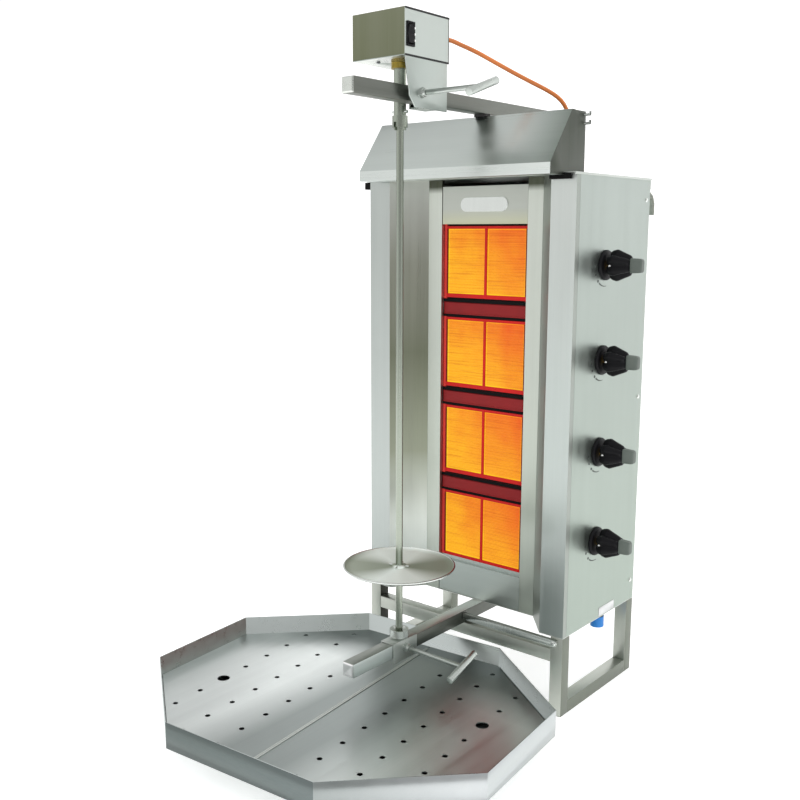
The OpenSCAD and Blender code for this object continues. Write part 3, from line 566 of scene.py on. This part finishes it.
TAIL = [at(*p) for p in (
    (54.4, 121.7, 969.2), (51.2, 114, 968.2), (46.1, 107.4, 966.6), (39.5, 102.3, 964.9),
    (31.8, 99.1, 963.4), (23.5, 98, 962.6), (20, 98, 962.5))]
wound = coil_points()
lead_path = curve_through(SPAN, SPAN_STEP) + wound + curve_through([wound[-1]] + TAIL, TAIL_STEP)[1:]
lead = add("mains_lead", *tube(lead_path, LEAD_R, LEAD_SIDES), LEAD, None, "lead_orange", smooth=60)
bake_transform(lead)
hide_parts("lead_span", "lead_coil", "lead_tail")

# CAD nodes: materials and edge rounding ------------------------------------------------------
def facing(x=0, y=0, z=0):
    """A test for faces that look mostly that way."""
    way = Vector((x, y, z)).normalized()
    return lambda c, n: n.dot(way) > 0.75


def paint(names, material, *rules):
    """One material all over, then others on the faces that pass a test of centre and normal.

    The centre is in cabinet millimetres. Where a face passes several tests, the last one counts.
    """
    for name in names.split():
        node = NODES[name]
        mesh = node.data
        mesh.materials.clear()
        for each in [material] + [rule[1] for rule in rules]:
            mesh.materials.append(each)
        spin = node.matrix_world.to_3x3()
        for face in mesh.polygons:
            middle = (node.matrix_world @ face.center - at(0, 0, 0)) * 1000
            normal = spin @ face.normal
            face.material_index = 0
            for index, (test, _) in enumerate(rules, 1):
                if test(middle, normal):
                    face.material_index = index


paint("side_panel_right", SIDE_RIGHT)
paint("side_panel_left back_panel", SHEET_V)
# Painted light and shade by face: the right flange lighter, the left splay and the far edge in the
# darker copy
paint("front_wings", FLANGE, (lambda c, n: c.x > 0, FLANGE_RIGHT),
      (lambda c, n: n.x > 0.5 and n.y < -0.4, SPLAY),
      (lambda c, n: n.x < -0.5 and n.y < -0.4, SPLAY_SHADED),
      (lambda c, n: n.x > 0.9 and c.x > 200, SPLAY_SHADED))
paint("burner_frame", STRIP)
paint("trim_plates", TRIM)
# Painted shade on the cheek faces, painted highlight on the front lip
paint("heat_hood", HOOD, (lambda c, n: c.x > 203.5, CHEEK),
      (lambda c, n: n.x > 0.8 and c.x > 190, CHEEK), (lambda c, n: n.y < -0.9, HOOD_LIP))
paint("top_cap bottom_panel", SHEET_X)
# Painted shade on the housing's front face
paint("motor_cover", MOTOR_SIDE, (facing(y=-1), MOTOR_FRONT_SHADED))
# Painted light: the bracket's downward faces in the lighter arm-end tone
paint("motor_bracket", BRACKET, (facing(z=-1), ARM_END),
      (lambda c, n: c.x > 52.2 and c.z < 1090, HANDLE))
paint("lower_slider", SHEET_Y, (lambda c, n: c.x > 14.5, HANDLE))
# Painted shade by face: front wall darkest, right diagonal and side walls in their own tones
paint("drip_tray", TRAY_WALL, (lambda c, n: n.y < -0.9 and c.y < -450, TRAY_SHADED),
      (lambda c, n: n.x > 0.4 and n.y < -0.4 and c.x > 0, TRAY_DIAGONAL),
      (lambda c, n: n.x > 0.9 and c.x > 0, TRAY_SIDE))
paint("tray_insert_left tray_insert_right", TRAY_FLOOR)
# Painted shade: faces turned right or down half shaded, the left leg's right-facing face shaded
paint("frame_legs arm_post wall_spacers gas_manifold front_crossbar floor_runners", FRAME_LIT,
      (facing(x=1), FRAME_HALF_SHADED), (facing(z=-1), FRAME_HALF_SHADED),
      (lambda c, n: n.x > 0.75 and c.x < -150 and c.y < 60, FRAME_SHADED))
# Painted shade: the stay's top face darker than its bright sides
paint("front_stay", BRIGHT, (facing(z=1), STAY_TOP))
# Painted light and shade by face on both arms
paint("upper_arm", ARM_TOP, (facing(x=1), ARM_SIDE), (facing(y=-1), ARM_END),
      (facing(z=-1), ARM_SIDE))
paint("lower_arm", LOWER_TOP, (facing(x=1), LOWER_SIDE), (facing(y=-1), ARM_END),
      (facing(z=-1), ARM_SIDE))
paint("panel_screws bearing_cup coupler_pins", BRIGHT)
paint("upper_clamp_handle lower_clamp_handle", HANDLE)
paint("spit_shaft drive_coupler", TURNED)
# Painted shade: the burner bodies in the shaded red
paint("burner_bodies", RED_SHADED)
paint("gas_valves gas_injectors valve_stem_1 valve_stem_2 valve_stem_3 valve_stem_4", BRASS)
paint("shaft_bushing", BUSHING)
paint("thermocouples", COPPER)
paint("knob_bezels switch_bezel switch_rocker cord_gland", BLACK)
paint("mains_plug", BLACK, (lambda c, n: c.x < -17.2, BRIGHT))
paint("hood_brackets", BLACK_MATT)
paint("arm_pad", RUBBER)
paint("gas_inlet_cap", BLUE)
paint("data_plate", LABEL)
paint("gear_motor", IRON)

# Edge radius in metres, and the nodes that have it
ROUNDED = {
    0.0004: "heat_hood top_cap drip_tray motor_bracket lower_slider bottom_panel",
    0.0012: "upper_arm lower_arm frame_legs floor_runners front_crossbar",
    0.0008: "front_stay knob_bezels data_plate switch_bezel hood_brackets",
    0.0016: "upper_clamp_handle lower_clamp_handle",
}
for width, names in ROUNDED.items():
    for name in names.split():
        soften(NODES[name], 35, width, weld=True)


# Burners -------------------------------------------------------------------------------------
# Cabinet millimetres; heights are from the bottom of each pair of plaques
PLAQUE_Y, PLAQUE_BACK = 68.0, 80.0
RIB_STEP, RIB_DEPTH, RIB_WALL = 5.0, 1.1, 0.2
RIB_SHAPE = ((0.0, RIB_DEPTH), (0.16, 0), (0.72, 0), (0.88, RIB_DEPTH))
SHOW_LOW, SHOW_HIGH, SHOW_IN, SHOW_OUT = 6.0, 126.0, 2.6, 86.0
RIM, RIM_OVER, RIM_PROUD = 2, 1, 0.2
TRIM_HALF, TRIM_LOW, TRIM_HIGH = 88.8, -1.4, 131
BOX_HALF, BOX_LOW, BOX_HIGH = 94.6, -3.8, 135.8
BAND_HALF, BAND_LOW, BAND_HIGH = 93, -32.5, -10


def ribbed_plaque(x0, x1, z0, z1):
    """Front of a plaque: raised bands with a groove between each pair, and a solid back."""
    rows = round((z1 - z0) / RIB_STEP)
    step = (z1 - z0) / rows
    verts = []
    for row in range(rows):
        base = z0 + row * step
        for part, depth in RIB_SHAPE:
            verts += [at(x, PLAQUE_Y + depth, base + part * step) for x in (x0, x1)]
    verts += [at(x, PLAQUE_Y + RIB_DEPTH, z1) for x in (x0, x1)]
    faces = [(2 * k, 2 * k + 1, 2 * k + 3, 2 * k + 2) for k in range(len(verts) // 2 - 1)]
    back = boxes(slab((x0, x1), (PLAQUE_Y + RIB_DEPTH + RIB_WALL, PLAQUE_BACK), (z0, z1)))
    return merge([(verts, faces), back])


# Painted light and shade on the trims: lit middle and sides, shaded inner strips
fields, edges, lit, lit_sides, shaded, bands, shadow_strips = [], [], [], [], [], [], []
for i in range(BURNERS):
    z = BURNER_Z + i * PITCH
    show_low, show_high = z + SHOW_LOW, z + SHOW_HIGH
    trim_low, trim_high = z + TRIM_LOW, z + TRIM_HIGH
    box_z = (z + BOX_LOW, z + BOX_HIGH)
    rim_y, rim_z = (PLAQUE_Y - RIM_PROUD, PLAQUE_BACK), (show_low - RIM_OVER, show_high + RIM_OVER)
    for side in (-1, 1):
        inner, outer = sorted((side * (SHOW_IN + RIM), side * (SHOW_OUT - RIM)))
        fields.append(ribbed_plaque(inner, outer, show_low + RIM, show_high - RIM))
        low_x, high_x = sorted((side * SHOW_IN, side * SHOW_OUT))
        edges.append(boxes(
            slab((low_x - RIM_OVER, low_x + RIM), rim_y, rim_z),
            slab((high_x - RIM, high_x + RIM_OVER), rim_y, rim_z),
            slab((low_x, high_x), rim_y, (show_low - RIM_OVER, show_low + RIM)),
            slab((low_x, high_x), rim_y, (show_high - RIM, show_high + RIM_OVER))))
        lit_sides.append(boxes(slab(sorted((side * TRIM_HALF, side * BOX_HALF)), (65.6, 67.6), box_z)))
        shaded.append(boxes(slab(sorted((side * SHOW_OUT, side * TRIM_HALF)), (66.3, 67.7), box_z)))
    lit.append(boxes(
        slab((-SHOW_IN, SHOW_IN), (65.6, 70), (trim_low, trim_high)),
        slab((-TRIM_HALF, TRIM_HALF), (66.0, 67.7), (trim_low, show_low)),
        slab((-TRIM_HALF, TRIM_HALF), (66.0, 67.7), (show_high, trim_high))))
    box_x, band_x = (-BOX_HALF, BOX_HALF), (-BAND_HALF, BAND_HALF)
    # Painted shadow: black strips along the gaps above and below each trim and band
    shadow_strips.append(boxes(
        slab(box_x, (66.8, 68.2), (z - 3.9, trim_low)),
        slab(box_x, (66.8, 68.2), (trim_high, z + 135.9))))
    if i:
        low, high = z + BAND_LOW, z + BAND_HIGH
        bands.append(boxes(
            slab(band_x, (64.4, 65.9), (low, high)),
            slab(band_x, (64.4, 90), (high - 1.5, high)),
            slab(band_x, (63.2, 65.9), (low, low + 2))))
        shadow_strips.append(boxes(
            slab(box_x, (65.2, 65.9), (high, high + 6)),
            slab(box_x, (65.2, 65.9), (low - 5, low))))
plaques = add("plaque_fields", *merge(fields), CERAMIC, "cabinet", "ceramic", smooth=30)
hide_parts("ceramic_plaques")
plaques.visible_glossy = False
rims = add("plaque_edges", *merge(edges), CERAMIC_EDGE, "cabinet", "ceramic", bevel=0.0003)
rims.visible_glossy = False
# Painted light on the middle and side trims, painted shade on the inner ones
add("burner_trim_lit", *merge(lit), RED_LIT, "cabinet", "burner_red", bevel=0.0003)
add("burner_trim_sides", *merge(lit_sides), RED_LIT_SIDES, "cabinet", "burner_red", bevel=0.0004)
add("burner_trim_inner_shaded", *merge(shaded), RED_SHADED, "cabinet", "burner_red", bevel=0.0003)
add("burner_shadow_strips", *merge(shadow_strips), BLACK_MATT, "cabinet", "burner_red")
bands = add("burner_bands", *merge(bands), BAND, "cabinet", "burner_red", bevel=0.0004)
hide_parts("burner_spacers")
add("burner_lip", *boxes(slab((-BOX_HALF, BOX_HALF), (64.9, 65.5), (BURNER_Z - 8, BURNER_Z + 0.6))),
    TRIM, "cabinet", "sheet_steel")


# Plain badge, motor trim, arm ends -----------------------------------------------------------
def rounded_plate(centre, across, up, width, height, radius, thick):
    """Flat plate with rounded corners standing off a surface."""
    n = across.cross(up)
    count = 32
    outline = []
    for k in range(count):
        a = TAU * k / count
        cx = math.copysign(width / 2 - radius, math.cos(a + 1e-6))
        cz = math.copysign(height / 2 - radius, math.sin(a + 1e-6))
        outline.append((cx + radius * math.cos(a), cz + radius * math.sin(a)))
    verts = [centre + across * u + up * w + n * t for t in (0, thick) for u, w in outline]
    caps = [tuple(range(count - 1, -1, -1)), tuple(range(count, 2 * count))]
    return verts, caps + ring_faces(1, count)


BADGE_W, BADGE_H, BADGE_R, BADGE_T = 0.104, 0.026, 0.0128, 0.0012
badge = rounded_plate(at(0, 58, 897), X, Z, BADGE_W, BADGE_H, BADGE_R, BADGE_T)
add("plain_badge", *badge, BRIGHT, "cabinet", "sheet_steel", bevel=0.0005)

MOTOR_X, MOTOR_FRONT, MOTOR_BACK, MOTOR_LOW, MOTOR_TOP = 53, -232, -122, 1111, 1181
# Painted shadow: black strips along the top, bottom and back seams of the housing's side
seam_x, seam_y = (MOTOR_X - 0.4, MOTOR_X + 0.7), (MOTOR_FRONT + 1, MOTOR_BACK + 0.7)
add("motor_seam_shadows", *boxes(
    slab(seam_x, seam_y, (MOTOR_TOP - 2.6, MOTOR_TOP + 0.4)),
    slab(seam_x, seam_y, (MOTOR_LOW - 0.4, MOTOR_LOW + 2.6)),
    slab((MOTOR_X - 0.4, MOTOR_X + 0.4), (MOTOR_BACK - 0.9, MOTOR_BACK + 0.4), (MOTOR_LOW, MOTOR_TOP))),
    RUBBER, "motor_carriage", "black_plastic", bevel=0.0005)
add("switch_notches", *boxes(*[
    slab((55, 55.4), (-210.4, -208.2), (z - 1.5, z + 1.5)) for z in (1134, 1143, 1152)]),
    WHITE, "motor_carriage", "black_plastic")
screw_profile = [(0, 0.0032), (0.0014, 0.003), (0.002, 0.0012), (0.002, 0)]
add("base_screw", *revolve(screw_profile, along(at(-22, -206, MOTOR_LOW), -Z), 24), IRON,
    "motor_carriage", "bright_steel")


def arm_cap(name, x, y, z, material):
    """Square plug in the end of an arm: four facets that meet in the middle."""
    half, rim = 11.4, 9.4
    corners = [(-half, -half), (half, -half), (half, half), (-half, half)]
    verts = [at(x + u, y - 0.2, z + w) for u, w in corners]
    verts += [at(x + u * rim / half, y - 1.6, z + w * rim / half) for u, w in corners]
    verts.append(at(x, y - 0.5, z))
    faces = ring_faces(1, 4) + [(4 + k, 4 + (k + 1) % 4, 8) for k in range(4)] + [(3, 2, 1, 0)]
    add(name, verts, faces, material, "cabinet", "frame_steel", smooth=8)


# Painted light on the end caps, a painted highlight on the lower one
arm_cap("upper_arm_cap", 23, -326, 1060, ARM_END)
arm_cap("lower_arm_cap", 0, -310, 134, ARM_END_HIGHLIGHT)

# Disc under the meat -------------------------------------------------------------------------
DISC = at(0, SPIT_Y, 276)
RIM_FROM = 0.0935
PIN_ANGLES, PIN_R, PIN_LONG, PIN_REACH, PIN_UP = (20, 110, 200, 290), 0.0017, 0.011, 0.0068, 0.0036
disc_profile = [
    (-14, 6.1), (-14, 13), (-1.5, 13.2), (-0.4, 15), (-0.2, 60), (0.6, 88), (1.6, 94), (2.4, 95.6),
    (3.6, 96.8), (5.0, 96.9), (5.9, 96.0), (6.0, 94.9), (5.2, 94.0), (3.4, 91), (2.3, 80),
    (2.0, 50), (2.0, 14.5), (2.4, 13), (4.6, 12.4), (5.2, 11.6), (5.2, 6.1), (-14, 6.1)]
dish = [(h / 1000, r / 1000) for h, r in disc_profile]
disc = add("meat_dish", *revolve(dish, Matrix.Translation(DISC), 160), [DISC_TOP, BRIGHT], "spit",
           "bright_steel", smooth=40)
for face in disc.data.polygons:
    reach = Vector((face.center.x - DISC.x, face.center.y - DISC.y)).length
    face.material_index = 1 if reach > RIM_FROM else 0
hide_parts("meat_disc")
pin_profile = [(0, 0), (0, PIN_R), (PIN_LONG, PIN_R), (0.0113, 0.0012), (0.0113, 0)]
pins = []
for angle in PIN_ANGLES:
    way = Vector((math.cos(math.radians(angle)), math.sin(math.radians(angle)), 0))
    pins.append(revolve(pin_profile, along(DISC + way * PIN_REACH + Z * PIN_UP, way), 20))
add("dish_pins", *merge(pins), BRIGHT, "spit", "bright_steel")

# Raised hem along the joint of the tray's inserts
TRAY_TURN, INSERT_TOP, JOINT_HALF = math.radians(5.5), 0.0625, 0.255
on_tray = Matrix.Translation(at(-26, -287, 0)) @ Matrix.Rotation(TRAY_TURN, 4, "Z")
for name, near, far in (("left", -0.0034, -0.001), ("right", -0.0005, 0.0024)):
    hem_verts, hem_faces = box_mesh(*slab(
        (near, far), (-JOINT_HALF, JOINT_HALF), (INSERT_TOP - 0.0003, INSERT_TOP + 0.0012)))
    add("insert_hem_" + name, [on_tray @ Vector(v) for v in hem_verts], hem_faces, SHEET_Y,
        "insert_" + name, "sheet_steel", bevel=0.0003)


# Knobs ---------------------------------------------------------------------------------------
LOBES, LOBE_DEPTH, LOBE_SHARP, HUB_R = 6, 0.27, 1.6, 0.010
STEM_R = 4.1 / 1000
knob_profile = [(h / 1000, r / 1000) for h, r in (
    (0.0, 9), (0.0, 21.5), (1.0, 23.5), (4.0, 25.2), (10.5, 26.8), (12.5, 26.6), (22, 22.6),
    (32, 18.6), (35.5, 17.0), (37.0, 15.2), (37.6, 12.6), (37.6, 4.1))]
dot_profile = [(0.017, 0), (0.017, 0.0026), (0.0189, 0.0026), (0.0194, 0.0018), (0.0195, 0)]
collar_profile = [(0, STEM_R), (0, 0.0075), (0.0055, 0.0075), (0.0055, STEM_R)]
# Distance out, half width and half height of each ring of the grip, and the ring's outline
GRIP_RINGS = ((0.0372, 7.5, 12.5), (0.052, 7.0, 12.0), (0.0562, 6.4, 11.2), (0.058, 4.8, 9.4))
OCTAGON = ((-1, -0.72), (-0.72, -1), (0.72, -1), (1, -0.72), (1, 0.72), (0.72, 1), (-0.72, 1),
           (-1, 0.72))
# Local Z out of the panel, local Y down
KNOB_TURN = Matrix(((0, 0, 1, 0), (-1, 0, 0, 0), (0, -1, 0, 0), (0, 0, 0, 1)))


def lobed(r, a):
    """Radius round a lobe: full at its crest, well cut in between."""
    wave = 0.5 - 0.5 * math.cos(LOBES * a)
    return r * (1 - LOBE_DEPTH * (1 - wave) ** LOBE_SHARP) if r > HUB_R else r


for i in range(BURNERS):
    base = at(PANEL_X + 12, KNOB_Y, KNOB_Z + i * KNOB_PITCH)
    place = Matrix.Translation(base) @ KNOB_TURN
    number = str(i + 1)
    body = "knob_" + number
    shell = revolve(knob_profile, place, 96, lobed)
    knob = add("knob_body_" + number, *shell, BLACK, body, "black_plastic", smooth=40)
    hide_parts("knob_" + number)
    grip = [place @ Vector((u * wide / 1000, w * tall / 1000, out))
            for out, wide, tall in GRIP_RINGS for u, w in OCTAGON]
    caps = [tuple(range(7, -1, -1)), tuple(range(24, 32))]
    add("knob_grip_" + number, grip, caps + ring_faces(len(GRIP_RINGS) - 1, len(OCTAGON)), GREY_GRIP,
        body, "black_plastic", smooth=25, bevel=0.0005)
    upright = Matrix.Translation(base + X * 0.0062 - Z * 0.0012) @ Matrix.Rotation(math.pi / 2, 4, "X")
    add("knob_dot_" + number, *revolve(dot_profile, upright, 24), WHITE, body, "black_plastic")
    add("knob_collar_" + number, *revolve(collar_profile, along(base - X * 0.0058, X), 32), BRASS,
        "cabinet", "brass")

# Printed dots and a tapering arc round each knob
MARK_REACH, MARK_DOT, MARK_THICK = 0.036, 0.0024, 0.0003
ARC_STEPS, ARC_FROM, ARC_STEP, ARC_HALF = 12, 57, 3.4, 0.0014
ARC_SECTION = ((-1, 0), (-1, MARK_THICK), (1, MARK_THICK), (1, 0))


def on_panel(middle, angle, reach, lift):
    """A point of the right side panel, at an angle down from the front."""
    a = math.radians(angle)
    return middle + Vector((lift, -math.cos(a) * reach, -math.sin(a) * reach))


marks = []
for i in range(BURNERS):
    middle = at(PANEL_X, KNOB_Y, KNOB_Z + i * KNOB_PITCH)
    for angle in (4, 26, 48):
        dot_place = along(on_panel(middle, angle, MARK_REACH, 0), X)
        marks.append(revolve([(0, MARK_DOT), (MARK_THICK, MARK_DOT), (MARK_THICK, 0)], dot_place, 20))
    arc = []
    for k in range(ARC_STEPS + 1):
        angle, width = ARC_FROM + ARC_STEP * k, ARC_HALF * (1 - k / 16)
        arc += [on_panel(middle, angle, MARK_REACH + s * width, lift) for s, lift in ARC_SECTION]
    last = 4 * ARC_STEPS
    marks.append((arc, ring_faces(ARC_STEPS, 4) + [(0, 1, 2, 3), (last + 3, last + 2, last + 1, last)]))
add("panel_marks", *merge(marks), PRINT, "cabinet", "black_plastic")

# Strain relief at the plug
BOOT_LONG, BOOT_R, BOOT_TAPER = 0.026, 0.0068, 0.0026
back_along = lead_path[::-1]
boot_points, reach = [back_along[0]], 0.0
for a, b in zip(back_along, back_along[1:]):
    reach += (b - a).length
    if reach > BOOT_LONG:
        break
    boot_points.append(b)
boot = add("plug_boot", *tube(boot_points, lambda t: BOOT_R - BOOT_TAPER * t, 16), BLACK, "cabinet",
           "black_plastic")


# Studio --------------------------------------------------------------------------------------
def lamp(name, position, target, size, energy):
    """A soft rectangle of light that mirror reflections don't show."""
    data = bpy.data.lights.new(name, "AREA")
    data.shape = "RECTANGLE"
    data.size, data.size_y = size
    data.energy = energy
    obj = bpy.data.objects.new(name, data)
    bpy.context.scene.collection.objects.link(obj)
    obj.location = position
    obj.rotation_mode = "QUATERNION"
    obj.rotation_quaternion = (Vector(target) - Vector(position)).to_track_quat("-Z", "Y")
    obj.visible_glossy = False


lamp("key", (2.4, -2.0, 2.4), (0, 0, 0.6), (1.6, 1.6), 34)
lamp("fill", (-2.6, -1.6, 1.6), (0, 0, 0.5), (1.2, 1.8), 14)
lamp("top", (0.2, -0.4, 3.0), (0, 0, 0), (2.4, 2.4), 26)
bpy.context.scene.view_settings.view_transform = "Standard"
world = bpy.data.worlds.new("studio")
world.use_nodes = True
bpy.context.scene.world = world
sky = world.node_tree
backdrop = sky.nodes["Background"]
backdrop.inputs["Color"].default_value = (1, 1, 1, 1)
# A bright backdrop; surfaces reflect softer walls, light to the right rear and left front
BACKDROP, WALLS, CROSSED, RISING = 1.05, 0.68, 0.5, 0.2
direction = sky.nodes.new("ShaderNodeSeparateXYZ")
sky.links.new(sky.nodes.new("ShaderNodeTexCoord").outputs["Generated"], direction.inputs[0])
way_x, way_y, way_z = direction.outputs
crossed = math_node(sky, "MULTIPLY", math_node(sky, "MULTIPLY", way_x, way_y), CROSSED)
rising = math_node(sky, "MULTIPLY", math_node(sky, "MAXIMUM", way_z, 0), RISING)
walls = math_node(sky, "ADD", math_node(sky, "ADD", crossed, rising), WALLS)
seen = sky.nodes.new("ShaderNodeLightPath").outputs["Is Camera Ray"]
seen_light = math_node(sky, "MULTIPLY", seen, BACKDROP)
sky.links.new(math_node(sky, "MAXIMUM", walls, seen_light), backdrop.inputs["Strength"])

floor_material, floor_tree, floor_shader = principled(
    "floor", (0.86, 0.86, 0.86), 0.7, Emission_Color=(1, 1, 1, 1), Emission_Strength=0.42)
paper = noise(floor_tree, 60, 3).outputs["Fac"]
speckle = tint(floor_tree, (0.84, 0.84, 0.84), (0.88, 0.88, 0.88), paper)
floor_tree.links.new(speckle, floor_shader.inputs["Base Color"])
# Floor that curves up into a wall behind the object
COVE_X, FRONT, BACK, RISE, WALL_TOP, COVE_STEPS = 4.0, -4.0, 3.2, 1.0, 4.0, 8
section = [(FRONT, 0.0), (BACK - RISE, 0.0)]
for step in range(1, COVE_STEPS + 1):
    a = step * math.pi / 2 / COVE_STEPS
    section.append((BACK - RISE + RISE * math.sin(a), RISE - RISE * math.cos(a)))
section.append((BACK, WALL_TOP))
cove = [(x, y, z) for y, z in section for x in (-COVE_X, COVE_X)]
cove_faces = [(2 * i, 2 * i + 1, 2 * i + 3, 2 * i + 2) for i in range(len(section) - 1)]
floor = add("studio_floor", cove, cove_faces, floor_material, None)
floor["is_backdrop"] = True

low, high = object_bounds()
